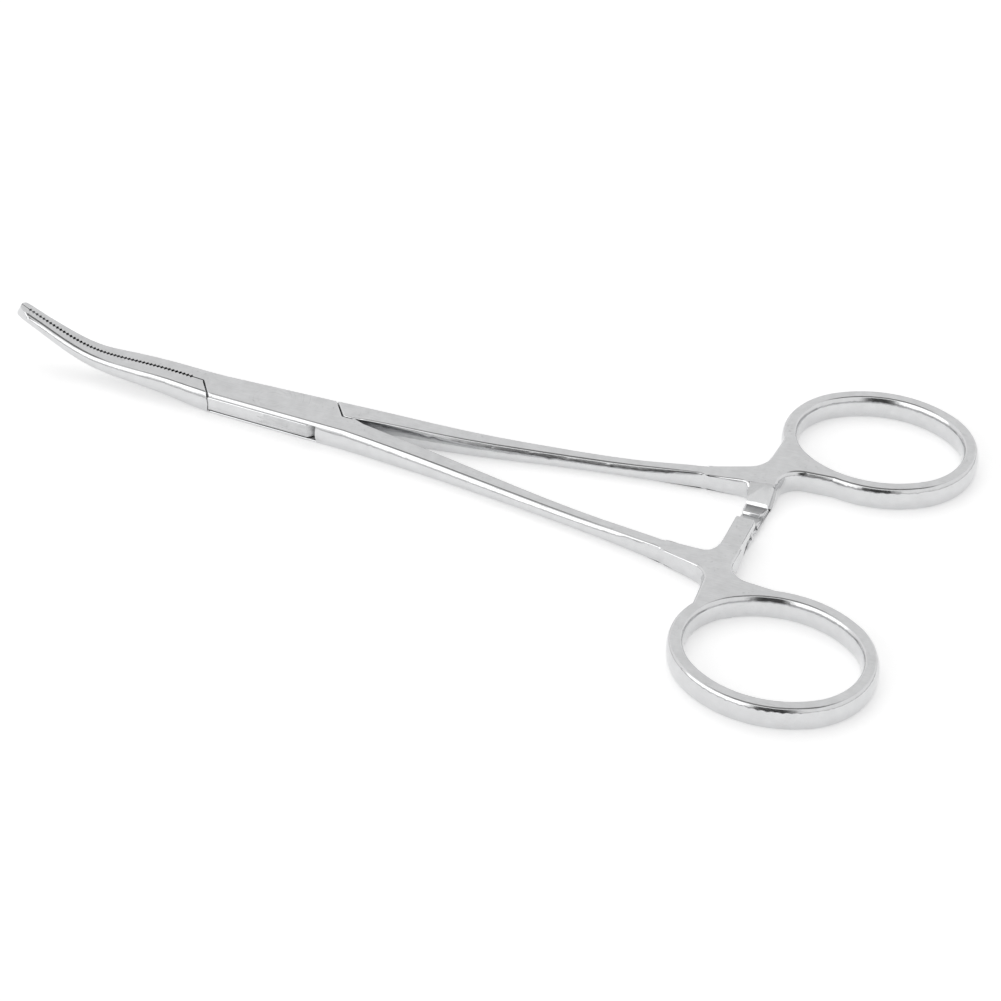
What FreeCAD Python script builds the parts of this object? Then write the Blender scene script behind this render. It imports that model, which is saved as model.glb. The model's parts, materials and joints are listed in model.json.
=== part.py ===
import FreeCAD, Part
import math
import os

V = FreeCAD.Vector

# Curved box-lock hemostat, 125 mm long, closed and lying on its side
# While it is drawn, the pivot is the origin, the jaws point to -X, the rings lie to +X,
# and z = 0 is the middle plane. Far side is +Y, near side is -Y. Sizes are in millimetres.

# Overall reach
tip_reach = 37.0
box_thickness = 3.3
ring_thickness = 3.3
finish_step = 0.02

# Box lock: plates of the box half, tongue of the other half, riveted pin
lock_end = 11.5
tongue_thickness = 2.06
slot_height = 2.2
tongue_radius = 7.5
slot_radius = 8.1
tongue_recess = 0.17
pin_radius = 1.1
pin_clearance = 0.04
seam_axis_x = 10.05
seam_edge_x = 8.35
seam_edge_y = 2.3
seam_gap = 0.1
root_gap = 0.12
tongue_bevel_x = 6.1
tongue_bevel_y = 2.35

# Jaws: they rise out of the plane in two arcs
bend_start = 22.4
bend_radius = 18.0
bend_angle = 23.5
tip_bend_radius = 80.0
jaw_gap_root = 0.16
jaw_gap_tip = 0.03
tip_round = 0.85

# Stations of the box and of the jaws: run from the pivot, half width of the flat,
# thickness, side bulge, height of the middle line
box_stations = [
    (-lock_end, 2.85, box_thickness, 0.55, 0.0),
    (0.0, 2.45, box_thickness, 0.55, 0.0),
    (7.5, 2.17, box_thickness, 0.55, 0.0),
]
jaw_stations = [
    (7.5, 2.17, box_thickness, 0.55, 0.0),
    (10.0, 2.08, 3.28, 0.55, 0.11),
    (12.4, 2.0, 3.1, 0.53, 0.37),
    (14.6, 1.93, 2.88, 0.5, 0.62),
    (18.8, 1.83, 2.46, 0.47, 0.9),
    (22.4, 1.66, 2.2, 0.45, 1.02),
]
jaw_tip_width = 0.72
jaw_tip_thickness = 1.35
jaw_tip_bulge = 0.45

# Serrations across the jaw faces
tooth_pitch = 0.54
tooth_count = 47
groove_half_width = 0.25
groove_depth = 0.28
first_groove = 11.8
plain_tip = 0.3

# Shank stations: distance from the pivot, inner edge, outer edge, thickness, inner bulge, outer bulge,
# height of the middle line. Both shanks keep low, so that their undersides run almost level.
shank_end = 57.0
shank_stations = [
    (lock_end, 0.1, 2.85, 3.3, 0.03, 0.55, 0.0),
    (16.0, 0.85, 3.2, 3.1, 0.15, 0.58, -0.07),
    (22.0, 1.65, 3.7, 2.8, 0.35, 0.6, -0.22),
    (29.0, 2.75, 4.45, 2.45, 0.45, 0.6, -0.36),
    (36.0, 4.0, 5.4, 2.15, 0.45, 0.56, -0.4),
    (43.0, 5.2, 6.4, 2.02, 0.45, 0.54, -0.41),
    (50.0, 6.3, 7.55, 2.2, 0.4, 0.46, -0.35),
    (shank_end, 7.37, 8.93, 2.44, 0.12, 0.14, -0.22),
]

# Finger rings
ring_x = 75.6
ring_y = 22.2
ring_tilt = 2.5
hole_half_length = 11.0
hole_half_width = 9.1
hole_end_radius = 8.2
band = 1.25
ring_bulge = 0.45
ring_levels = [0.0, 0.55, 1.0]

# Web between shank, ring and ratchet bar
neck_x = 64.0
web_foot_y = 11.65
web_root_inset = 0.15
outer_web_round = 3.4
inner_web_round = 1.8
ring_web_round = 3.0

# Rise of the web's flat from the shank up to the ring: distance from the pivot, height
web_rise = [(56.0, 0.95), (59.0, 1.1), (62.0, 1.35), (64.5, 1.57), (67.0, 1.67)]
web_fall = [(56.0, -1.41), (60.0, -1.56), (64.0, -1.67)]

# Ratchet bars
bar_x = 64.85
bar_half_width = 1.25
bar_root_y = 6.0
bar_end_bulge = 0.1
upper_bar_end = 0.05
lower_bar_end = -2.2
upper_slope_start = 9.6
lower_slope_start = 7.7
ratchet_pitch = 2.2
ratchet_depth = 0.45
ratchet_steep = 0.25
upper_crest_y = 3.2
lower_crest_y = 5.6
crest_clearance = 0.05
bar_edge_round = 0.6

half_ring = ring_thickness / 2
half_box = box_thickness / 2
far_out = 60.0


def barrel_section(origin, side, up, inner, outer, thickness, inner_bulge, outer_bulge):
    """Flat top and bottom joined by two round sides, in the plane of side and up."""
    rise = up * (thickness / 2)
    top_in = origin + side * inner + rise
    top_out = origin + side * outer + rise
    low_out = origin + side * outer - rise
    low_in = origin + side * inner - rise
    mid_out = origin + side * (outer + outer_bulge)
    mid_in = origin + side * (inner - inner_bulge)
    edges = [
        Part.LineSegment(top_in, top_out).toShape(),
        Part.Arc(top_out, mid_out, low_out).toShape(),
        Part.LineSegment(low_out, low_in).toShape(),
        Part.Arc(low_in, mid_in, top_in).toShape(),
    ]
    return Part.Wire(edges)


def prism(points, low, high):
    """Plan outline drawn up from one height to another."""
    corners = [V(x, y, low) for x, y in points]
    wire = Part.makePolygon(corners + corners[:1])
    return Part.Face(wire).extrude(V(0, 0, high - low))


def jaw_line(run):
    """Point of the middle line of the jaws and its slope, by the distance run past the bend's start."""
    first_run = bend_radius * math.radians(bend_angle)
    lift = jaw_stations[-1][4]
    if run <= first_run:
        slope = run / bend_radius
        x = bend_start + bend_radius * math.sin(slope)
        z = lift + bend_radius * (1 - math.cos(slope))
        return x, z, slope
    x, z, slope = jaw_line(first_run)
    end_slope = slope + (run - first_run) / tip_bend_radius
    x += tip_bend_radius * (math.sin(end_slope) - math.sin(slope))
    z += tip_bend_radius * (math.cos(slope) - math.cos(end_slope))
    return x, z, end_slope


def tip_run():
    """Distance run from the bend's start to the tip, found by halving."""
    low = 0.0
    high = 30.0
    for _ in range(40):
        middle = (low + high) / 2
        if jaw_line(middle)[0] < tip_reach:
            low = middle
        else:
            high = middle
    return low


def lock_and_jaw_body(recess):
    """Common envelope of the box lock and both closed jaws, its round sides drawn in by recess."""
    box = plane_faced(Part.makeLoft(flat_sections(box_stations, recess), True, True))
    sections = flat_sections(jaw_stations, recess)
    total = tip_run()
    last = jaw_stations[-1]
    steps = 5
    for step in range(1, steps + 1):
        share = step / steps
        x, z, slope = jaw_line(total * share)
        width = last[1] + (jaw_tip_width - last[1]) * share ** 0.8
        thickness = last[2] + (jaw_tip_thickness - last[2]) * share
        bulge = last[3] + (jaw_tip_bulge - last[3]) * share
        up = V(math.sin(slope), 0, math.cos(slope))
        sections.append(barrel_section(V(-x, 0, z), V(0, 1, 0), up, -width, width, thickness, bulge, bulge))
    jaws = Part.makeLoft(sections, True, False).common(tip_rounder(total))
    return box.fuse(jaws)


def plane_faced(loft):
    """The same solid with true planes for its level faces."""
    faces = []
    for face in loft.Faces:
        if face.BoundBox.ZLength < finish_step / 10:
            corners = [vertex.Point for vertex in face.OuterWire.OrderedVertexes]
            face = Part.Face(Part.makePolygon(corners + corners[:1]))
        faces.append(face)
    shell = Part.makeShell(faces)
    shell.sewShape()
    return Part.makeSolid(shell)


def flat_sections(stations, recess):
    """Upright sections of the box and of the flat run of the jaws."""
    sections = []
    for x, width, thickness, bulge, lift in stations:
        sections.append(barrel_section(V(-x, 0, lift), V(0, 1, 0), V(0, 0, 1), -width, width,
                                       thickness, bulge - recess, bulge - recess))
    return sections


def tip_rounder(total):
    """Long bar with a round end in plan, square to the tip's slope, that rounds both jaw tips."""
    x, z, slope = jaw_line(total)
    widest = 6.0
    widening = tip_round + widest * 2
    reach = 80.0
    tall = 120.0
    round_start = V(tip_round, -tip_round, 0)
    round_end = V(tip_round, tip_round, 0)
    edges = [Part.Arc(round_start, V(0, 0, 0), round_end).toShape()]
    corners = [
        round_end,
        V(widening, widest, 0),
        V(reach, widest, 0),
        V(reach, -widest, 0),
        V(widening, -widest, 0),
        round_start,
    ]
    for start, end in zip(corners, corners[1:]):
        edges.append(Part.LineSegment(start, end).toShape())
    bar = Part.Face(Part.Wire(edges)).extrude(V(0, 0, tall))
    bar.translate(V(0, 0, -tall / 2))
    bar.rotate(V(0, 0, 0), V(0, 1, 0), math.degrees(slope))
    bar.translate(V(-x, 0, z))
    return bar


def seam_outline(offset, gap_side):
    """Plan of the full-thickness part of the near jaw, its shoulder moved by offset along X."""
    run = (seam_axis_x - seam_edge_x) / seam_edge_y
    depth = 9.0
    root = gap_side * jaw_gap_root / 2
    tip = gap_side * jaw_gap_tip / 2
    return [
        (-seam_axis_x + offset, root),
        (-far_out, tip),
        (-far_out, -depth),
        (-seam_axis_x + offset + run * depth, -depth),
    ]


def shank_root_outline(offset, gap_side):
    """Plan of the full-thickness root of the far shank: the shoulder turned half round."""
    run = (seam_axis_x - seam_edge_x) / seam_edge_y
    depth = 9.0
    root = gap_side * root_gap / 2
    return [
        (seam_axis_x - offset, root),
        (far_out, root),
        (far_out, depth),
        (seam_axis_x - offset - run * depth, depth),
    ]


def tongue_level(radius, height, gap_side):
    """Space of the tongue in the lock, at mid height: a disc and the ways into jaw and shank."""
    half = height / 2
    beyond = 8.0
    disc = Part.makeCylinder(radius, height, V(0, 0, -half))
    jaw_side = gap_side * jaw_gap_root / 2
    shank_side = gap_side * root_gap / 2
    reach = seam_axis_x + 1
    left = prism([(0, jaw_side), (-reach, jaw_side), (-reach, -beyond), (0, -beyond)], -half, half)
    right = prism([(0, -shank_side), (reach, -shank_side), (reach, beyond), (0, beyond)], -half, half)
    return disc.fuse([left, right])


def full_height_parts(gap_side, shoulder_shift):
    """Space of the near jaw and of the far shank's root, past the shoulders of the lock."""
    jaw = prism(seam_outline(shoulder_shift, gap_side), -far_out, far_out)
    root = prism(shank_root_outline(shoulder_shift, -gap_side), -far_out, far_out)
    return jaw.fuse(root)


def groove_cutters():
    """Row of diamond bars that cut matching V grooves into both jaw faces."""
    cutters = []
    total = tip_run()
    wide = groove_half_width
    reach = box_thickness
    for number in range(tooth_count):
        along = first_groove + number * tooth_pitch
        if along - bend_start > total - plain_tip:
            break
        x = along
        z = 0.0
        slope = 0.0
        if along > bend_start:
            x, z, slope = jaw_line(along - bend_start)
        share = (x - seam_axis_x) / (tip_reach - seam_axis_x)
        deep = groove_depth + (jaw_gap_root + (jaw_gap_tip - jaw_gap_root) * share) / 2
        corners = [V(-wide, 0, -reach), V(0, deep, -reach), V(wide, 0, -reach), V(0, -deep, -reach)]
        bar = Part.Face(Part.makePolygon(corners + corners[:1])).extrude(V(0, 0, reach * 2))
        bar.rotate(V(0, 0, 0), V(0, 1, 0), math.degrees(slope))
        bar.translate(V(-x, 0, z))
        cutters.append(bar)
    return Part.makeCompound(cutters)


def oval_wire(grow, height):
    """Four-arc oval of the finger hole, grown outward and set at a height."""
    length = hole_half_length + grow
    width = hole_half_width + grow
    end_radius = hole_end_radius + grow
    top = (length - end_radius) ** 2 + width ** 2 - end_radius ** 2
    side_radius = top / (2 * (width - end_radius))
    end_x = length - end_radius
    drop = side_radius - width
    slant = math.hypot(end_x, drop)
    joint_x = end_x + end_radius * end_x / slant
    joint_y = end_radius * drop / slant
    corners = [V(joint_x, joint_y, 0), V(-joint_x, joint_y, 0), V(-joint_x, -joint_y, 0), V(joint_x, -joint_y, 0)]
    middles = [V(0, width, 0), V(-length, 0, 0), V(0, -width, 0), V(length, 0, 0)]
    edges = []
    for number in range(4):
        start = corners[number]
        end = corners[(number + 1) % 4]
        edges.append(Part.Arc(start, middles[number], end).toShape())
    wire = Part.Wire(edges)
    wire.rotate(V(0, 0, 0), V(0, 0, 1), ring_tilt)
    wire.translate(V(ring_x, ring_y, height))
    return wire


def web_outline():
    """Plan outline of the ring and its web, with rounded inner corners."""
    disc = Part.Face(oval_wire(band, 0)).extrude(V(0, 0, 1))
    inner_slope = (shank_stations[-1][1] - shank_stations[-2][1]) / (shank_stations[-1][0] - shank_stations[-2][0])
    back = 4.0
    root_in = shank_stations[-1][1] + web_root_inset
    root_out = shank_stations[-1][2] - web_root_inset
    stub = prism([
        (shank_end - back, root_in - back * inner_slope),
        (shank_end - back, root_out - back * inner_slope),
        (shank_end, root_out),
        (neck_x + 1.5, 11.64),
        (neck_x + 1.5, 8.03),
        (shank_end, root_in),
    ], 0, 1)
    neck = prism([
        (neck_x - 0.1, 10.5),
        (neck_x + 0.5, 20.0),
        (ring_x, 20.0),
        (ring_x, web_foot_y + 0.7),
        (bar_x, web_foot_y - 0.1),
        (bar_x, 10.5),
    ], 0, 1)
    bar = prism([
        (bar_x - bar_half_width, bar_root_y - 3),
        (bar_x + bar_half_width, bar_root_y - 3),
        (bar_x + bar_half_width, 11.65),
        (bar_x - bar_half_width, 10.0),
    ], 0, 1)
    plate = disc.fuse([stub, neck, bar]).removeSplitter()
    plate = round_corner(plate, (neck_x - 0.1, 11.1), outer_web_round)
    plate = round_corner(plate, (bar_x - bar_half_width, 8.0), inner_web_round)
    plate = round_corner(plate, (bar_x + bar_half_width, web_foot_y), ring_web_round)
    top = [face for face in plate.Faces if abs(face.CenterOfMass.z - 1) < 1e-6][0]
    wire = top.OuterWire.copy()
    wire.translate(V(0, 0, -1))
    return wire


def round_corner(plate, place, radius):
    """Rounds the upright edge of the plate that stands nearest to a place in plan."""
    best = None
    nearest = 1e9
    for edge in plate.Edges:
        ends = [vertex.Point for vertex in edge.Vertexes]
        if len(ends) < 2 or abs(ends[0].z - ends[1].z) < 0.5:
            continue
        away = math.hypot(ends[0].x - place[0], ends[0].y - place[1])
        if away < nearest:
            nearest = away
            best = edge
    return plate.makeFillet(radius, [best])


def web_profile(side):
    """Bar along Y that holds the web between its rising flat and its underside, in side view."""
    upper = [V(x, 0, side * z) for x, z in web_rise]
    lower = [V(x, 0, side * z) for x, z in web_fall]
    beyond = V(far_out * 2, 0, 0)
    rise = Part.BSplineCurve()
    rise.interpolate(upper)
    fall = Part.BSplineCurve()
    fall.interpolate(lower)
    high_end = V(beyond.x, 0, upper[-1].z)
    low_end = V(beyond.x, 0, lower[-1].z)
    edges = [
        rise.toShape(),
        Part.LineSegment(upper[-1], high_end).toShape(),
        Part.LineSegment(high_end, low_end).toShape(),
        Part.LineSegment(low_end, lower[-1]).toShape(),
        fall.toShape(),
        Part.LineSegment(lower[0], upper[0]).toShape(),
    ]
    return Part.Face(Part.Wire(Part.__sortEdges__(edges))).extrude(V(0, far_out, 0))


def web_and_ring(side):
    """Ring, web and bar root with round sides, and the finger hole."""
    base = web_outline()
    sharp_joins = 2
    beyond = 0.5
    sections = []
    holes = []
    for level in [-share for share in reversed(ring_levels[1:])] + ring_levels:
        bulge = ring_bulge * (1 - abs(level) ** 3)
        wire = base.copy()
        if bulge > 0:
            wire = base.makeOffset2D(bulge, sharp_joins, False, False, False)
        wire.translate(V(0, 0, level * half_ring))
        sections.append(wire)
        holes.append(oval_wire(-bulge, level * half_ring))
    flare = ring_bulge * 3 * beyond / half_ring
    holes.insert(0, oval_wire(flare, -half_ring - beyond))
    holes.append(oval_wire(flare, half_ring + beyond))
    body = Part.makeLoft(sections, True, False).cut(Part.makeLoft(holes, True, False))
    trim = 10.0
    trim_shank = Part.makeBox(trim, trim * 2, trim, V(shank_end - trim, 0, -trim / 2))
    trim_bar = Part.makeBox(trim, trim, trim, V(bar_x - trim / 2, bar_root_y - trim, -trim / 2))
    profile = web_profile(side)
    profile.translate(V(0, -far_out / 4, 0))
    return body.cut(trim_shank).cut(trim_bar).common(profile)


def shank(side):
    """Shank with flat faces and round sides, thinnest past its middle."""
    wires = []
    for x, inner, outer, thickness, inner_bulge, outer_bulge, lift in shank_stations:
        wires.append(barrel_section(V(x, 0, side * lift), V(0, 1, 0), V(0, 0, 1), inner, outer, thickness,
                                    inner_bulge, outer_bulge))
    return Part.makeLoft(wires, True, False)


def bar_block(end):
    """Ratchet bar before its teeth, from the web to its end."""
    wires = []
    width = bar_half_width - finish_step
    for share in (0.0, 0.5, 1.0):
        y = bar_root_y + (end - bar_root_y) * share
        bulge = ring_bulge * (1 - share) ** 1.5 + bar_end_bulge * share
        wires.append(barrel_section(V(bar_x, y, 0), V(1, 0, 0), V(0, 0, 1), -width, width,
                                    ring_thickness - finish_step * 2, bulge, bulge))
    return Part.makeLoft(wires, True, False)


def ratchet_cutter(end, crest_y, slope_start):
    """Everything above the toothed top of a lower ratchet bar."""
    crest = -crest_clearance
    valley = crest - ratchet_depth
    top = half_ring + 1
    line = [(slope_start + 0.05, top), (slope_start, half_ring)]
    y = crest_y
    while y > end + 0.3:
        line.append((y, crest))
        line.append((y - ratchet_steep, valley))
        y -= ratchet_pitch
    line.append((end - 1, crest + 0.1))
    line.append((end - 1, top))
    start_x = bar_x - bar_half_width - ring_bulge - 1
    points = [V(start_x, y, z) for y, z in line]
    return Part.Face(Part.makePolygon(points + points[:1])).extrude(V(bar_half_width * 6, 0, 0))


def bar_edge_cutters(end, crest_y, slope_start):
    """Bars that round the outer top edge of the toothed bar and of the slope that leads down to it."""
    side_x = bar_x + bar_half_width + bar_end_bulge
    high = -crest_clearance
    low = high - bar_edge_round
    inner = V(side_x - bar_edge_round, crest_y, high)
    outer = V(side_x, crest_y, low)
    turn = math.sqrt(0.5)
    middle = V(inner.x + bar_edge_round * turn, crest_y, low + bar_edge_round * turn)
    far = [outer, V(side_x + 1, crest_y, low), V(side_x + 1, crest_y, half_ring), V(inner.x, crest_y, half_ring), inner]
    edges = [Part.Arc(inner, middle, outer).toShape()]
    for start, stop in zip(far, far[1:]):
        edges.append(Part.LineSegment(start, stop).toShape())
    corner = Part.Face(Part.Wire(edges))
    rise = V(0, slope_start - crest_y, half_ring - high) * 0.9
    return corner.extrude(V(0, end - 1 - crest_y, 0)).fuse(corner.extrude(rise))


def handle(bar_end, crest_y, slope_start, side):
    """Shank, ring, web and ratchet bar of the far side, its toothed side up.

    Side is 1 where it stays as drawn and -1 where it is turned over for the near side.
    """
    body = web_and_ring(side).fuse([shank(side), bar_block(bar_end)])
    body = body.cut(ratchet_cutter(bar_end, crest_y, slope_start))
    return body.cut(bar_edge_cutters(bar_end, crest_y, slope_start))


def tongue_bevels():
    """Wedges that bevel the two blind corners of the tongue."""
    corner = [
        (tongue_bevel_x, -4.0),
        (tongue_bevel_x, -3.05),
        (7.6, -tongue_bevel_y + 0.6),
        (8.5, -4.0),
    ]
    near = prism(corner, -half_box, half_box)
    far = near.copy()
    far.rotate(V(0, 0, 0), V(0, 0, 1), 180)
    return near.fuse(far)


def tongue_half(envelope, grooves):
    """Near jaw, tongue, far shank and ring, with the lower ratchet bar."""
    shift = -seam_gap / 2
    tongue = lock_and_jaw_body(tongue_recess).common(tongue_level(tongue_radius, tongue_thickness, -1))
    body = envelope.common(full_height_parts(-1, shift)).fuse(tongue.cut(tongue_bevels()))
    body = body.fuse(handle(lower_bar_end, lower_crest_y, lower_slope_start, 1))
    bore = Part.makeCylinder(pin_radius + pin_clearance, box_thickness + 2, V(0, 0, -half_box - 1))
    return body.cut(bore).cut(grooves)


def box_half(envelope, grooves):
    """Far jaw, plates of the box, near shank and ring, with the upper ratchet bar."""
    shift = seam_gap / 2
    body = envelope.cut(tongue_level(slot_radius, slot_height, 1)).cut(full_height_parts(1, shift))
    upper = handle(-upper_bar_end, upper_crest_y, upper_slope_start, -1)
    upper.rotate(V(0, 0, 0), V(1, 0, 0), 180)
    body = body.fuse(upper)
    bore = Part.makeCylinder(pin_radius, box_thickness + 2, V(0, 0, -half_box - 1))
    return body.cut(bore).cut(grooves)


def pivot_pin():
    return Part.makeCylinder(pin_radius, box_thickness, V(0, 0, -half_box))


def main():
    envelope = lock_and_jaw_body(0)
    grooves = groove_cutters()
    shapes = {
        "box_half": box_half(envelope, grooves),
        "tongue_half": tongue_half(envelope, grooves),
        "pivot_pin": pivot_pin(),
    }
    box = Part.makeCompound(list(shapes.values())).optimalBoundingBox(False)
    move = V(-(box.XMin + box.XMax) / 2, -(box.YMin + box.YMax) / 2, half_box)
    print("size", round(box.XLength, 2), round(box.YLength, 2), round(box.ZLength, 2))
    print("pivot at", round(move.x, 3), round(move.y, 3))
    for name, shape in shapes.items():
        solids = shape.Solids
        print(name, len(solids), "solids", round(shape.Volume, 1), "mm3", shape.isValid())
        placed = solids[0] if len(solids) == 1 else shape
        placed.translate(move)
        placed.exportStep("parts/" + name + ".step")


os.makedirs("parts", exist_ok=True)
main()
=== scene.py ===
import json
import math
import bpy
import bmesh
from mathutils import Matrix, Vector


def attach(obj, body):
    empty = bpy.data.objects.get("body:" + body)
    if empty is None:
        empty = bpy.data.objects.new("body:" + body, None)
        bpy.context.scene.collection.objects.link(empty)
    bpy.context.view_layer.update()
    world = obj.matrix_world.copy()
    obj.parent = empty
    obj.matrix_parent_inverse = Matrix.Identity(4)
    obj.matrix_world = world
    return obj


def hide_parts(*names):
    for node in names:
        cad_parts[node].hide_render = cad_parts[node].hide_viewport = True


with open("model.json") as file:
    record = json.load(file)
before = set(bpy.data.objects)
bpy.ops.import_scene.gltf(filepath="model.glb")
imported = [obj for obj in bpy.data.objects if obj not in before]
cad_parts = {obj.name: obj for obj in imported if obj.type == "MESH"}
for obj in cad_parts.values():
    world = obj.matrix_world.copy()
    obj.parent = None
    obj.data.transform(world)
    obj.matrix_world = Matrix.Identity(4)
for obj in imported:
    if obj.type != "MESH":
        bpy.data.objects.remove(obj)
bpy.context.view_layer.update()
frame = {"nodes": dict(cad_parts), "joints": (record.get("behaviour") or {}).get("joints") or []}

print("frame loaded")

mm = 0.001
pivotX = frame["joints"][0]["pos_m"][0]
midHeight = frame["joints"][0]["pos_m"][2]


def newMaterial(name):
    material = bpy.data.materials.new(name)
    material.use_nodes = True
    nodes = material.node_tree.nodes
    nodes.clear()
    output = nodes.new("ShaderNodeOutputMaterial")
    surface = nodes.new("ShaderNodeBsdfPrincipled")
    material.node_tree.links.new(surface.outputs["BSDF"], output.inputs["Surface"])
    return material, nodes, material.node_tree.links, surface


def feed(links, value, socket):
    # value is another node's socket or a plain number
    if isinstance(value, (int, float)):
        socket.default_value = value
    else:
        links.new(value, socket)


def mathNode(nodes, links, operation, first, second=None):
    node = nodes.new("ShaderNodeMath")
    node.operation = operation
    feed(links, first, node.inputs[0])
    if second is not None:
        feed(links, second, node.inputs[1])
    return node.outputs[0]


def mapRange(nodes, links, source, fromRange, toRange=(0.0, 1.0)):
    node = nodes.new("ShaderNodeMapRange")
    names = ("From Min", "From Max", "To Min", "To Max")
    for name, value in zip(names, (*fromRange, *toRange)):
        feed(links, value, node.inputs[name])
    links.new(source, node.inputs["Value"])
    return node.outputs["Result"]


# camera over the near side of the tool
cameraSettings = {
    "place": (0.116748, -0.27468, 0.22563),
    "turn": (52.198, -0.495, 22.225),  # degrees
    "lens": 104.835,  # mm
    "sensor": 36.0,  # mm
    "seenFrom": 0.01,
    "seenTo": 20.0,
}

bpy.ops.object.select_all(action="DESELECT")
bpy.ops.object.camera_add(location=cameraSettings["place"],
                          rotation=[math.radians(angle) for angle in cameraSettings["turn"]])
camera = bpy.context.object
camera.name = "productCamera"
camera.data.lens = cameraSettings["lens"]
camera.data.sensor_width = cameraSettings["sensor"]
camera.data.clip_start = cameraSettings["seenFrom"]
camera.data.clip_end = cameraSettings["seenTo"]
bpy.context.scene.camera = camera
print("camera placed")


# floor and world
stageSettings = {
    "floorColour": (0.86, 0.86, 0.86, 1.0),
    "floorRough": 0.9,
    "floorLift": 0.36,  # brings the lit floor up to white for the camera and the steel
    "floorSize": 3.0,
    "skyLight": 0.72,
    "skySeen": 1.0,
    # height and tone of the room that the steel mirrors: darker at the horizon and overhead
    "skyGloss": [(0.0, 0.4), (0.05, 0.45), (0.12, 0.97), (0.86, 0.97), (0.93, 0.2)],
}


def makeFloor():
    bpy.ops.object.select_all(action="DESELECT")
    bpy.ops.mesh.primitive_plane_add(size=stageSettings["floorSize"], location=(0, 0, 0))
    floor = bpy.context.object
    floor.name = "tableTop"
    material, nodes, links, surface = newMaterial("paleTable")
    surface.inputs["Base Color"].default_value = stageSettings["floorColour"]
    surface.inputs["Roughness"].default_value = stageSettings["floorRough"]
    surface.inputs["Specular IOR Level"].default_value = 0.0
    path = nodes.new("ShaderNodeLightPath")
    seen = mathNode(nodes, links, "MAXIMUM", path.outputs["Is Camera Ray"], path.outputs["Is Glossy Ray"])
    lift = mathNode(nodes, links, "MULTIPLY", seen, stageSettings["floorLift"])
    glow = nodes.new("ShaderNodeEmission")
    links.new(lift, glow.inputs["Strength"])
    both = nodes.new("ShaderNodeAddShader")
    links.new(surface.outputs["BSDF"], both.inputs[0])
    links.new(glow.outputs["Emission"], both.inputs[1])
    output = [node for node in nodes if node.type == "OUTPUT_MATERIAL"][0]
    links.new(both.outputs["Shader"], output.inputs["Surface"])
    floor.data.materials.append(material)


def makeWorld():
    world = bpy.data.worlds.new("whiteStudio")
    bpy.context.scene.world = world
    world.use_nodes = True
    nodes = world.node_tree.nodes
    links = world.node_tree.links
    nodes.clear()
    output = nodes.new("ShaderNodeOutputWorld")
    direction = nodes.new("ShaderNodeTexCoord")
    split = nodes.new("ShaderNodeSeparateXYZ")
    links.new(direction.outputs["Generated"], split.inputs[0])
    ramp = nodes.new("ShaderNodeValToRGB")
    heights = stageSettings["skyGloss"]
    while len(ramp.color_ramp.elements) < len(heights):
        ramp.color_ramp.elements.new(0.5)
    for stop, (height, tone) in zip(ramp.color_ramp.elements, heights):
        stop.position = height
        stop.color = (tone, tone, tone, 1)
    links.new(split.outputs["Z"], ramp.inputs["Fac"])
    room = nodes.new("ShaderNodeBackground")
    links.new(ramp.outputs["Color"], room.inputs["Color"])
    plain = nodes.new("ShaderNodeBackground")
    plain.inputs["Strength"].default_value = stageSettings["skyLight"]
    white = nodes.new("ShaderNodeBackground")
    white.inputs["Strength"].default_value = stageSettings["skySeen"]
    path = nodes.new("ShaderNodeLightPath")
    glossMix = nodes.new("ShaderNodeMixShader")
    links.new(path.outputs["Is Glossy Ray"], glossMix.inputs["Fac"])
    links.new(plain.outputs[0], glossMix.inputs[1])
    links.new(room.outputs[0], glossMix.inputs[2])
    viewMix = nodes.new("ShaderNodeMixShader")
    links.new(path.outputs["Is Camera Ray"], viewMix.inputs["Fac"])
    links.new(glossMix.outputs[0], viewMix.inputs[1])
    links.new(white.outputs[0], viewMix.inputs[2])
    links.new(viewMix.outputs[0], output.inputs["Surface"])


def aim(item, target):
    direction = Vector(target) - item.location
    item.rotation_euler = direction.to_track_quat("-Z", "Y").to_euler()


# two soft boxes; the one overhead lights the tool and isn't mirrored by its steel
lampSettings = {
    "frontBox": {"place": (-0.55, -0.95, 0.62), "size": (1.9, 0.8), "power": 4.0, "mirrored": True},
    "topBox": {"place": (-0.3, 0.5, 1.3), "size": (1.2, 1.2), "power": 4.4, "mirrored": False},
}


def makeLamps():
    for name, lamp in lampSettings.items():
        bpy.ops.object.light_add(type="AREA", location=lamp["place"])
        item = bpy.context.object
        item.name = name
        item.data.shape = "RECTANGLE"
        item.data.size = lamp["size"][0]
        item.data.size_y = lamp["size"][1]
        item.data.energy = lamp["power"]
        item.visible_glossy = lamp["mirrored"]
        aim(item, (0, 0, 0))


# dark card with soft borders that only the steel mirrors
cardSettings = {
    "place": (0.155, -0.58, 0.28),
    "size": (0.54, 0.64),
    "aimX": 0.03,
    "tone": 0.05,
    "core": (0.24, 0.36),  # fully dark up to here from the middle, across and up
    "border": 0.5,
}


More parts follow.
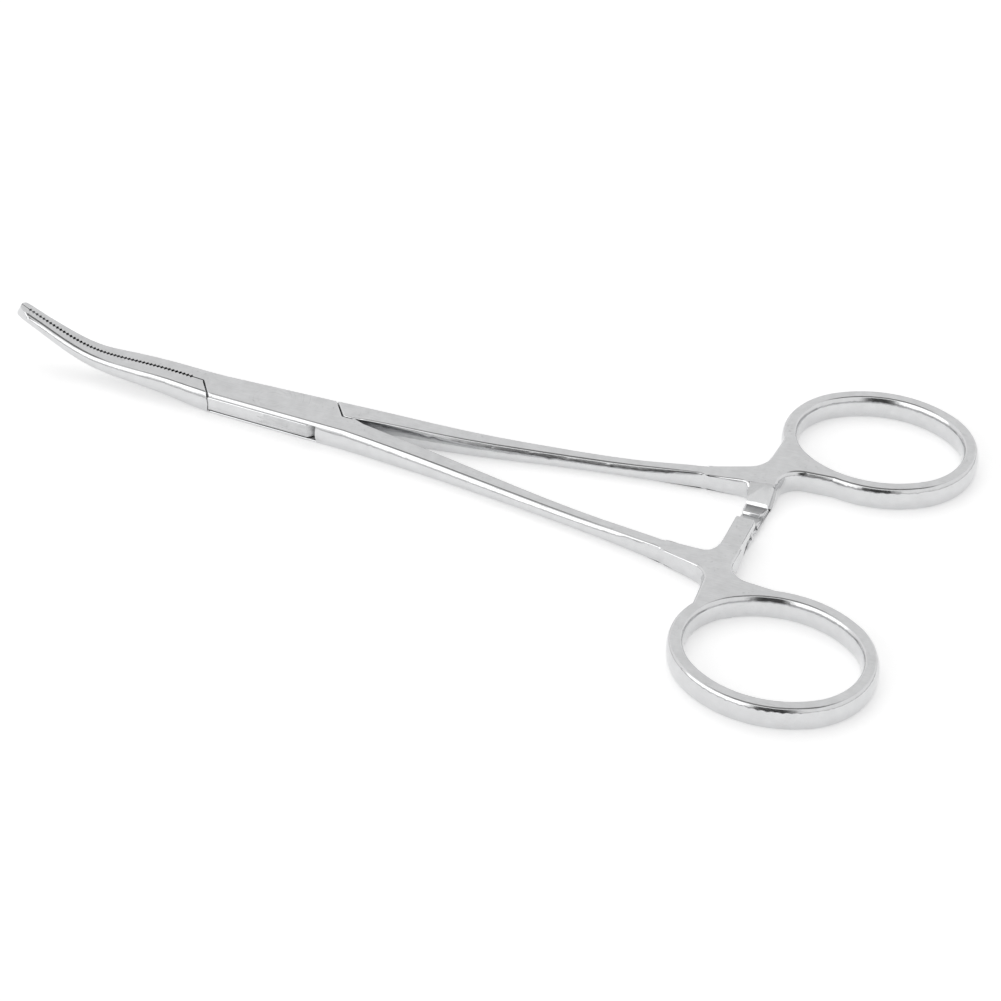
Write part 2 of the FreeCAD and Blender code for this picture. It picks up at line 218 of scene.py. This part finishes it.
def makeCard():
    material, nodes, links, surface = newMaterial("darkCard")
    tone = cardSettings["tone"]
    surface.inputs["Base Color"].default_value = (0.0, 0.0, 0.0, 1)
    surface.inputs["Specular IOR Level"].default_value = 0.0
    surface.inputs["Emission Color"].default_value = (tone, tone, tone, 1)
    surface.inputs["Emission Strength"].default_value = 1.0
    split = nodes.new("ShaderNodeSeparateXYZ")
    links.new(nodes.new("ShaderNodeTexCoord").outputs["Object"], split.inputs[0])
    fades = []
    for axis, core in zip(("X", "Y"), cardSettings["core"]):
        away = mathNode(nodes, links, "ABSOLUTE", split.outputs[axis])
        fades.append(mapRange(nodes, links, away, (core, cardSettings["border"]), (1.0, 0.0)))
    links.new(mathNode(nodes, links, "MULTIPLY", *fades), surface.inputs["Alpha"])
    bpy.ops.object.select_all(action="DESELECT")
    bpy.ops.mesh.primitive_plane_add(size=1.0, location=cardSettings["place"])
    card = bpy.context.object
    card.name = "standCard"
    card.scale = (*cardSettings["size"], 1.0)
    aim(card, (cardSettings["aimX"], 0.0, cardSettings["place"][2]))
    card.data.materials.append(material)
    card.visible_camera = False
    card.visible_diffuse = False
    card.visible_shadow = False


makeFloor()
makeWorld()
makeLamps()
makeCard()
print("stage set")


# shader groups that the steels share
def groupSocket(group, name, kind, way, value=None):
    item = group.interface.new_socket(name=name, in_out=way, socket_type=kind)
    if value is not None:
        item.default_value = value


def startGroup(name):
    group = bpy.data.node_groups.new(name, "ShaderNodeTree")
    groupSocket(group, "Vector", "NodeSocketVector", "INPUT")
    return group


def noiseTexture(nodes, links, vector, scale, detail):
    node = nodes.new("ShaderNodeTexNoise")
    node.inputs["Detail"].default_value = detail
    links.new(vector, node.inputs["Vector"])
    feed(links, scale, node.inputs["Scale"])
    return node.outputs["Fac"]


# fine polishing lines along the tool, with a soft cloudy mottle
lineSettings = {
    "fineness": 9000.0,
    "stretch": 0.06,
    "lineDetail": 3.0,
    "mottle": 800.0,
    "mottleDetail": 5.0,
}


def makeLinesGroup():
    group = startGroup("polishLines")
    groupSocket(group, "Fineness", "NodeSocketFloat", "INPUT", lineSettings["fineness"])
    groupSocket(group, "Stretch", "NodeSocketFloat", "INPUT", lineSettings["stretch"])
    groupSocket(group, "Mottle", "NodeSocketFloat", "INPUT", lineSettings["mottle"])
    groupSocket(group, "Lines", "NodeSocketFloat", "OUTPUT")
    groupSocket(group, "Cloud", "NodeSocketFloat", "OUTPUT")
    nodes = group.nodes
    links = group.links
    entry = nodes.new("NodeGroupInput")
    leave = nodes.new("NodeGroupOutput")
    split = nodes.new("ShaderNodeSeparateXYZ")
    links.new(entry.outputs["Vector"], split.inputs[0])
    join = nodes.new("ShaderNodeCombineXYZ")
    drawn = mathNode(nodes, links, "MULTIPLY", split.outputs["X"], entry.outputs["Stretch"])
    links.new(drawn, join.inputs["X"])
    links.new(split.outputs["Y"], join.inputs["Y"])
    links.new(split.outputs["Z"], join.inputs["Z"])
    lines = noiseTexture(nodes, links, join.outputs[0], entry.outputs["Fineness"],
                         lineSettings["lineDetail"])
    links.new(lines, leave.inputs["Lines"])
    cloud = noiseTexture(nodes, links, entry.outputs["Vector"], entry.outputs["Mottle"],
                         lineSettings["mottleDetail"])
    links.new(cloud, leave.inputs["Cloud"])
    return group


# faint arcs that the turning halves and the grinding wheel leave round the pin
rubSettings = {
    "spacing": 0.22 * mm,
    "fadeStart": 3.0 * mm,
    "reach": 8.5 * mm,
    "ridges": (0.52, 0.66),
    "patchScale": 420.0,
    "patches": (0.42, 0.6),
    "detail": 2.0,
}


def makeRubGroup():
    group = startGroup("rubArcs")
    groupSocket(group, "Spacing", "NodeSocketFloat", "INPUT", rubSettings["spacing"])
    groupSocket(group, "Reach", "NodeSocketFloat", "INPUT", rubSettings["reach"])
    groupSocket(group, "Arcs", "NodeSocketFloat", "OUTPUT")
    nodes = group.nodes
    links = group.links
    entry = nodes.new("NodeGroupInput")
    leave = nodes.new("NodeGroupOutput")
    away = nodes.new("ShaderNodeVectorMath")
    away.operation = "SUBTRACT"
    away.inputs[1].default_value = (pivotX, 0, 0)
    links.new(entry.outputs["Vector"], away.inputs[0])
    split = nodes.new("ShaderNodeSeparateXYZ")
    links.new(away.outputs[0], split.inputs[0])
    square = mathNode(nodes, links, "ADD", mathNode(nodes, links, "POWER", split.outputs["X"], 2.0),
                      mathNode(nodes, links, "POWER", split.outputs["Y"], 2.0))
    radius = mathNode(nodes, links, "SQRT", square)
    turns = mathNode(nodes, links, "DIVIDE", radius, entry.outputs["Spacing"])
    alone = nodes.new("ShaderNodeCombineXYZ")
    links.new(turns, alone.inputs["X"])
    rings = noiseTexture(nodes, links, alone.outputs[0], 1.0, rubSettings["detail"])
    breakUp = noiseTexture(nodes, links, entry.outputs["Vector"], rubSettings["patchScale"],
                           rubSettings["detail"])
    fade = mapRange(nodes, links, radius, (rubSettings["fadeStart"], entry.outputs["Reach"]), (1.0, 0.0))
    ridges = mapRange(nodes, links, rings, rubSettings["ridges"])
    patch = mapRange(nodes, links, breakUp, rubSettings["patches"])
    both = mathNode(nodes, links, "MULTIPLY", ridges, patch)
    links.new(mathNode(nodes, links, "MULTIPLY", both, fade), leave.inputs["Arcs"])
    return group


# sparse pits and short hairlines
scuffSettings = {
    "pitScale": 2600.0,
    "pits": (0.6, 0.72),
    "patchScale": 210.0,
    "patches": (0.52, 0.64),
    "pitDetail": 2.0,
    "hairTurn": 28.0,  # degrees
    "hairScale": (60.0, 2600.0, 400.0),
    "hairs": (0.68, 0.74),
    "hairDetail": 1.0,
}


def makeScuffGroup():
    group = startGroup("scuffs")
    groupSocket(group, "Pits", "NodeSocketFloat", "OUTPUT")
    groupSocket(group, "Hairlines", "NodeSocketFloat", "OUTPUT")
    nodes = group.nodes
    links = group.links
    entry = nodes.new("NodeGroupInput")
    leave = nodes.new("NodeGroupOutput")
    place = entry.outputs["Vector"]
    fine = noiseTexture(nodes, links, place, scuffSettings["pitScale"], scuffSettings["pitDetail"])
    where = noiseTexture(nodes, links, place, scuffSettings["patchScale"], scuffSettings["pitDetail"])
    pits = mathNode(nodes, links, "MULTIPLY", mapRange(nodes, links, fine, scuffSettings["pits"]),
                    mapRange(nodes, links, where, scuffSettings["patches"]))
    links.new(pits, leave.inputs["Pits"])
    turned = nodes.new("ShaderNodeMapping")
    turned.inputs["Rotation"].default_value = (0, 0, math.radians(scuffSettings["hairTurn"]))
    turned.inputs["Scale"].default_value = scuffSettings["hairScale"]
    links.new(place, turned.inputs["Vector"])
    hairs = noiseTexture(nodes, links, turned.outputs[0], 1.0, scuffSettings["hairDetail"])
    links.new(mapRange(nodes, links, hairs, scuffSettings["hairs"]), leave.inputs["Hairlines"])
    return group


linesGroup = makeLinesGroup()
rubGroup = makeRubGroup()
scuffGroup = makeScuffGroup()


# ground satin faces, polished round sides, and the tongue's sides in the slot: rougher, and darker as
# painted shade of the recess
steelSettings = {
    "satinSteel": {
        "tone": (0.61, 0.67), "rough": (0.30, 0.42),
        "lines": 0.2, "grain": 0.03, "rub": 0.10, "pits": 0.12,
    },
    "polishedSteel": {
        "tone": (0.66, 0.70), "rough": (0.10, 0.19),
        "lines": 0.05, "grain": 0.01, "rub": 0.0, "pits": 0.03,
    },
    # rougher than the polished sides; its darker tone is painted shade of the slot's recess
    "shadedTongueSteel": {
        "tone": (0.56, 0.63), "rough": (0.26, 0.36),
        "lines": 0.16, "grain": 0.03, "rub": 0.0, "pits": 0.08,
    },
}

# what all three have in common; a span is the part of a noise that is spread over the whole range
sharedFinish = {
    "cloudSpan": (0.32, 0.68),
    "grainSpan": (0.35, 0.65),
    "roughSpan": (0.32, 0.68),
    "tint": {"Red": 0.995, "Green": 1.0, "Blue": 1.01},
    "hairRough": 0.06,
    "pitDepth": 1.5,  # against the height of the polishing lines
    "bumpDepth": 0.02 * mm,
}


def addGroup(nodes, links, tree, vector):
    node = nodes.new("ShaderNodeGroup")
    node.node_tree = tree
    links.new(vector, node.inputs["Vector"])
    return node


def makeSteel(name):
    finish = steelSettings[name]
    material, nodes, links, surface = newMaterial(name)
    surface.inputs["Metallic"].default_value = 1.0
    place = nodes.new("ShaderNodeTexCoord").outputs["Object"]
    grain = addGroup(nodes, links, linesGroup, place)
    scuff = addGroup(nodes, links, scuffGroup, place)
    cloud = mapRange(nodes, links, grain.outputs["Cloud"], sharedFinish["cloudSpan"], finish["tone"])
    streak = mapRange(nodes, links, grain.outputs["Lines"], sharedFinish["grainSpan"],
                      (-finish["grain"], finish["grain"]))
    clean = mathNode(nodes, links, "ADD", cloud, streak)
    worn = mathNode(nodes, links, "MULTIPLY", scuff.outputs["Pits"], finish["pits"])
    if finish["rub"] > 0:
        rub = addGroup(nodes, links, rubGroup, place)
        worn = mathNode(nodes, links, "ADD", worn,
                        mathNode(nodes, links, "MULTIPLY", rub.outputs["Arcs"], finish["rub"]))
    tone = mathNode(nodes, links, "SUBTRACT", clean, worn)
    colour = nodes.new("ShaderNodeCombineColor")
    for channel, share in sharedFinish["tint"].items():
        links.new(mathNode(nodes, links, "MULTIPLY", tone, share), colour.inputs[channel])
    links.new(colour.outputs[0], surface.inputs["Base Color"])
    rough = mapRange(nodes, links, grain.outputs["Lines"], sharedFinish["roughSpan"], finish["rough"])
    dull = mathNode(nodes, links, "MULTIPLY", scuff.outputs["Hairlines"], sharedFinish["hairRough"])
    links.new(mathNode(nodes, links, "ADD", rough, dull), surface.inputs["Roughness"])
    pits = mathNode(nodes, links, "MULTIPLY", scuff.outputs["Pits"], sharedFinish["pitDepth"])
    bump = nodes.new("ShaderNodeBump")
    bump.inputs["Strength"].default_value = finish["lines"]
    bump.inputs["Distance"].default_value = sharedFinish["bumpDepth"]
    links.new(mathNode(nodes, links, "SUBTRACT", grain.outputs["Lines"], pits), bump.inputs["Height"])
    links.new(bump.outputs["Normal"], surface.inputs["Normal"])
    return material


satinSteel = makeSteel("satinSteel")
polishedSteel = makeSteel("polishedSteel")
shadedTongueSteel = makeSteel("shadedTongueSteel")
print("materials made")


# the two halves, finished over their solids: edges rounded, faces sorted by finish
halfSettings = {
    "mergeDistance": 0.03 * mm,
    "flatJoin": 0.3,  # degrees between facets that become one flat face
    "jawJoin": 4.0,  # degrees between facets of the jaws that are laid out anew
    "edgeAngle": 26.0,  # degrees between the faces of an edge that gets rounded
    "edgeRound": 0.18 * mm,
    "edgeSteps": 3,
    "smoothAngle": 32.0,  # degrees
    "normalWeight": 50,
    "shortest": 0.1 * mm,  # edges shorter than this stay as they are
    "smallestFace": 5e-9,  # m2, slivers beside an edge leave it sharp
    "flatLimit": 0.965,  # how squarely a flat faces up or down
    "cutStep": 0.05,  # of the length of an edge that runs into a sharp place
    "cutLimit": 0.95,
}

# places that stay sharp: how far along the tool from the pivot, and how wide
sharpSettings = {
    "toothStart": 10.0 * mm,
    "seamWidth": 0.45 * mm,
    "tipStart": 36.2 * mm,
    "pinReach": 1.5 * mm,
    "shankEnd": 57.0 * mm,  # where shank and web meet
    "shankJoin": 0.45 * mm,
    "barPlace": (64.85 * mm, 6.7 * mm),  # roots and slopes of the ratchet bars
    "barJoin": (1.9 * mm, 1.5 * mm),
}

# the two arcs in which the jaws rise
bendSettings = {
    "start": 22.4 * mm,
    "radius": 18.0 * mm,
    "angle": 23.5,  # degrees
    "tipRadius": 80.0 * mm,
}

# the part of the tongue's sides that shows in the slot, which gets a darker steel as painted shade of the
# recess
slotSettings = {
    "length": 7.6 * mm,
    "halfHeight": 1.04 * mm,
    "halfWidth": 3.2 * mm,
    "steepest": 0.6,
}

# order of the finishes on each half
satinSlot = 0
polishedSlot = 1
# the tongue's sides in the slot: a darker steel as painted recess shade
tongueShadeSlot = 2


def localUp(x):
    # direction square to the flat faces: it leans where the jaws curve up
    past = pivotX - bendSettings["start"] - x
    if past <= 0:
        return Vector((0, 0, 1))
    fullTurn = math.radians(bendSettings["angle"])
    first = bendSettings["radius"] * math.sin(fullTurn)
    if past < first:
        slope = math.asin(past / bendSettings["radius"])
    else:
        slope = math.asin(math.sin(fullTurn) + (past - first) / bendSettings["tipRadius"])
    return Vector((math.sin(slope), 0, math.cos(slope)))


def isTongueSide(face):
    place = face.calc_center_median()
    inSlot = 0 < place.x - pivotX < slotSettings["length"] and abs(place.y) < slotSettings["halfWidth"]
    atMiddle = abs(place.z - midHeight) < slotSettings["halfHeight"]
    return inSlot and atMiddle and face.normal.z < slotSettings["steepest"]


def isOnTip(place):
    return place.x - pivotX < -sharpSettings["tipStart"]


def staysSharp(place):
    # on the toothed jaw faces, round the flush pin and where two forms meet in a fine step
    along = place.x - pivotX
    aside = abs(place.y)
    onSeam = along < -sharpSettings["toothStart"] and aside < sharpSettings["seamWidth"]
    onPin = math.hypot(along, aside) < sharpSettings["pinReach"]
    onShankEnd = abs(along - sharpSettings["shankEnd"]) < sharpSettings["shankJoin"]
    onBarRoot = (abs(along - sharpSettings["barPlace"][0]) < sharpSettings["barJoin"][0]
                 and abs(aside - sharpSettings["barPlace"][1]) < sharpSettings["barJoin"][1])
    return onSeam or isOnTip(place) or onPin or onShankEnd or onBarRoot


def canRound(edge):
    if len(edge.link_faces) != 2 or edge.calc_length() < halfSettings["shortest"]:
        return False
    if edge.calc_face_angle(0) < math.radians(halfSettings["edgeAngle"]):
        return False
    return min(face.calc_area() for face in edge.link_faces) > halfSettings["smallestFace"]


def splitNearJoins(shape):
    # an edge that runs into a sharp place is cut just short of it, so that the rest can be rounded
    for edge in list(shape.edges):
        if not canRound(edge):
            continue
        for start, end in (tuple(edge.verts), tuple(reversed(edge.verts))):
            if isOnTip(start.co) or not staysSharp(start.co) or staysSharp(end.co):
                continue
            share = 0.0
            while share < halfSettings["cutLimit"] and staysSharp(start.co.lerp(end.co, share)):
                share += halfSettings["cutStep"]
            if share < halfSettings["cutLimit"]:
                bmesh.utils.edge_split(edge, start, share)
            break


def copyNode(nodeName, pieceName):
    bpy.ops.object.select_all(action="DESELECT")
    piece = bpy.data.objects.new(pieceName, frame["nodes"][nodeName].data.copy())
    bpy.context.scene.collection.objects.link(piece)
    piece.select_set(True)
    bpy.context.view_layer.objects.active = piece
    piece.data.materials.clear()
    for steel in (satinSteel, polishedSteel, shadedTongueSteel):
        piece.data.materials.append(steel)
    return piece


def layOutFaces(piece):
    # in edit mode: large plain faces behind the teeth, evenly laid triangles on the jaws
    bpy.ops.mesh.select_all(action="SELECT")
    bpy.ops.mesh.remove_doubles(threshold=halfSettings["mergeDistance"])
    bpy.ops.mesh.customdata_custom_splitnormals_clear()
    bpy.ops.mesh.dissolve_degenerate(threshold=halfSettings["mergeDistance"])
    bpy.ops.mesh.select_mode(type="FACE")
    bpy.ops.mesh.select_all(action="DESELECT")
    shape = bmesh.from_edit_mesh(piece.data)
    for face in shape.faces:
        face.select = face.calc_center_median().x > pivotX - sharpSettings["toothStart"]
    bmesh.update_edit_mesh(piece.data)
    bpy.ops.mesh.dissolve_limited(angle_limit=math.radians(halfSettings["flatJoin"]))
    bpy.ops.mesh.select_all(action="INVERT")
    bpy.ops.mesh.beautify_fill(angle_limit=math.radians(halfSettings["jawJoin"]))


def roundEdges(piece):
    bpy.ops.mesh.select_mode(type="EDGE")
    bpy.ops.mesh.select_all(action="DESELECT")
    shape = bmesh.from_edit_mesh(piece.data)
    splitNearJoins(shape)
    count = 0
    for edge in shape.edges:
        if canRound(edge) and not any(staysSharp(vert.co) for vert in edge.verts):
            edge.select = True
            count += 1
    bmesh.update_edit_mesh(piece.data)
    print(piece.name, "edges rounded", count)
    bpy.ops.mesh.bevel(offset=halfSettings["edgeRound"], segments=halfSettings["edgeSteps"],
                       affect="EDGES", clamp_overlap=False, material=polishedSlot)
    bpy.ops.mesh.select_all(action="DESELECT")


def sortFaces(piece, hasTongue):
    shape = bmesh.from_edit_mesh(piece.data)
    rounded = shape.faces.layers.int.new("rounded")
    for face in shape.faces:
        face[rounded] = face.material_index
        face.smooth = True
        flat = abs(face.normal.dot(localUp(face.calc_center_median().x)))
        face.material_index = satinSlot if flat > halfSettings["flatLimit"] else polishedSlot
        # the tongue's sides in the slot take the darker steel, painted shade of the recess
        if hasTongue and face.material_index == polishedSlot and isTongueSide(face):
            face.material_index = tongueShadeSlot
    bmesh.update_edit_mesh(piece.data)


def levelFlats(mesh):
    # the ground flats are shaded by their own faces alone, and the rounded edges start from there
    rounded = [item.value for item in mesh.attributes["rounded"].data]
    level = {}
    for face in mesh.polygons:
        if face.material_index == satinSlot and not rounded[face.index]:
            for vert in face.vertices:
                level[vert] = level.get(vert, Vector((0, 0, 0))) + face.normal * face.area
    normals = [Vector(corner.vector) for corner in mesh.corner_normals]
    for face in mesh.polygons:
        if face.material_index != satinSlot and not rounded[face.index]:
            continue
        for corner in face.loop_indices:
            vert = mesh.loops[corner].vertex_index
            if vert in level:
                normals[corner] = level[vert].normalized()
    mesh.normals_split_custom_set(normals)
    mesh.attributes.remove(mesh.attributes["rounded"])


def shadeFaces(piece):
    bpy.ops.object.shade_smooth_by_angle(angle=math.radians(halfSettings["smoothAngle"]))
    level = piece.modifiers.new("levelFaces", "WEIGHTED_NORMAL")
    level.keep_sharp = True
    level.weight = halfSettings["normalWeight"]
    bpy.ops.object.modifier_apply(modifier=level.name)
    levelFlats(piece.data)


def finishHalf(nodeName, pieceName):
    piece = copyNode(nodeName, pieceName)
    bpy.ops.object.mode_set(mode="EDIT")
    layOutFaces(piece)
    roundEdges(piece)
    sortFaces(piece, nodeName == "tongue_half")
    bpy.ops.object.mode_set(mode="OBJECT")
    shadeFaces(piece)
    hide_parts(nodeName)
    return piece


boxPiece = finishHalf("box_half", "boxHalfSteel")
tonguePiece = finishHalf("tongue_half", "tongueHalfSteel")
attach(boxPiece, "box_side")
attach(tonguePiece, "tongue_side")

pin = frame["nodes"]["pivot_pin"]
pin.data.materials.clear()
pin.data.materials.append(satinSteel)
print("steel finished")


bpy.context.scene.view_settings.view_transform = "Standard"
